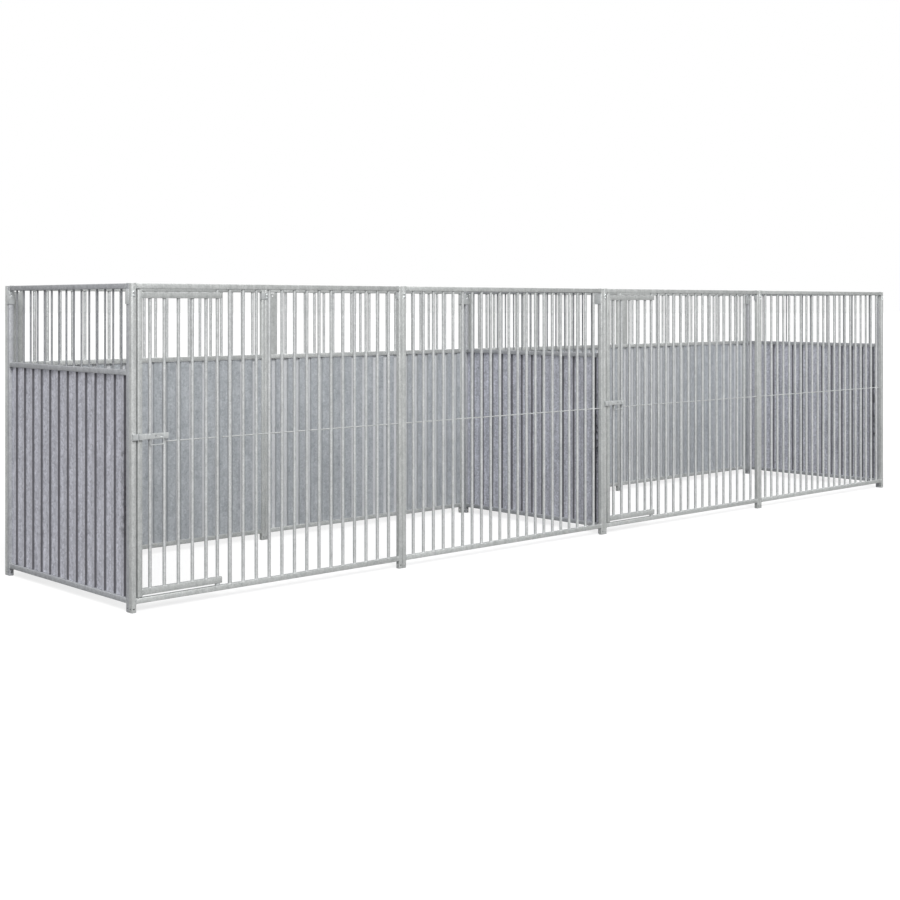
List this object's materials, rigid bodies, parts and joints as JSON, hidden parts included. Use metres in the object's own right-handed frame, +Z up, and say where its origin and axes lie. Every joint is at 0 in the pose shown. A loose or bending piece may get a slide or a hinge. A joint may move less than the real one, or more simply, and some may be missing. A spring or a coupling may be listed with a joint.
{
  "type": "modular dog kennel",
  "caption": "Open-topped modular dog kennel of bolted galvanised panels: barred fronts with hinged doors and slide latches, sheeted cross walls and rear panels under barred tops.",
  "frame": {"origin": "on the floor, at the middle of the kennel's bounding box", "axes": "+X along the front to the right as seen by a person facing the doors, +Y from the front to the rear, +Z up"},
  "size_m": [8.0056, 1.579, 1.84],
  "materials": {
    "galvanised_frame": "matt hot-dip galvanised",
    "galvanised_bar": "matt hot-dip galvanised",
    "galvanised_sheet": "matt galvanised, weathered",
    "zinc_hardware": "satin zinc plated"
  },
  "bodies": {
    "frame": {"front_1_bottom_rail": "galvanised_frame", "front_1_fixed_bars": "galvanised_bar", "front_1_hinge_bar": "galvanised_bar", "front_1_left_post": "galvanised_frame", "front_1_right_post": "galvanised_frame", "front_1_top_rail": "galvanised_frame", "front_2_grille": "galvanised_bar", "front_2_left_post": "galvanised_frame", "front_2_right_post": "galvanised_frame", "front_3_bottom_rail": "galvanised_frame", "front_3_fixed_bars": "galvanised_bar", "front_3_hinge_bar": "galvanised_bar", "front_3_left_post": "galvanised_frame", "front_3_right_post": "galvanised_frame", "front_3_top_rail": "galvanised_frame", "front_4_grille": "galvanised_bar", "front_4_left_post": "galvanised_frame", "front_4_right_post": "galvanised_frame", "front_coupling_1": "zinc_hardware", "front_coupling_2": "zinc_hardware", "front_coupling_3": "zinc_hardware", "front_coupling_4": "zinc_hardware", "front_coupling_5": "zinc_hardware", "left_door_keeper": "zinc_hardware", "left_door_stop_bottom": "zinc_hardware", "left_door_stop_top": "zinc_hardware", "left_wall_frame": "galvanised_frame", "left_wall_sheet": "galvanised_sheet", "middle_wall_frame": "galvanised_frame", "middle_wall_sheet": "galvanised_sheet", "rear_1_end_plate": "galvanised_frame", "rear_1_frame": "galvanised_frame", "rear_1_sheet": "galvanised_sheet", "rear_2_end_plate": "galvanised_frame", "rear_2_frame": "galvanised_frame", "rear_2_sheet": "galvanised_sheet", "rear_3_end_plate": "galvanised_frame", "rear_3_frame": "galvanised_frame", "rear_3_sheet": "galvanised_sheet", "rear_4_end_plate": "galvanised_frame", "rear_4_frame": "galvanised_frame", "rear_4_sheet": "galvanised_sheet", "rear_coupling_1": "zinc_hardware", "rear_coupling_2": "zinc_hardware", "rear_coupling_3": "zinc_hardware", "rear_coupling_4": "zinc_hardware", "rear_coupling_5": "zinc_hardware", "right_door_keeper": "zinc_hardware", "right_door_stop_bottom": "zinc_hardware", "right_door_stop_top": "zinc_hardware", "right_wall_frame": "galvanised_frame", "right_wall_sheet": "galvanised_sheet"},
    "left_door": {"left_door_latch_plate": "zinc_hardware", "left_door_leaf": "galvanised_frame"},
    "left_latch": {"left_door_latch_bolt": "zinc_hardware"},
    "right_door": {"right_door_latch_plate": "zinc_hardware", "right_door_leaf": "galvanised_frame"},
    "right_latch": {"right_door_latch_bolt": "zinc_hardware"}
  },
  "joints": [
    {"name": "left_door_hinge", "type": "hinge", "parent": "frame", "child": "left_door", "pos_m": [-3.4245, -0.7625, 0], "axis": [0, 0, 1], "range_deg": [0, 150]},
    {"name": "left_latch_slide", "type": "slide", "parent": "left_door", "child": "left_latch", "axis": [-1, 0, 0], "range_m": [0, 0.038]},
    {"name": "right_door_hinge", "type": "hinge", "parent": "frame", "child": "right_door", "pos_m": [0.5755, -0.7625, 0], "axis": [0, 0, 1], "range_deg": [0, 150]},
    {"name": "right_latch_slide", "type": "slide", "parent": "right_door", "child": "right_latch", "axis": [-1, 0, 0], "range_m": [0, 0.038]}
  ]
}
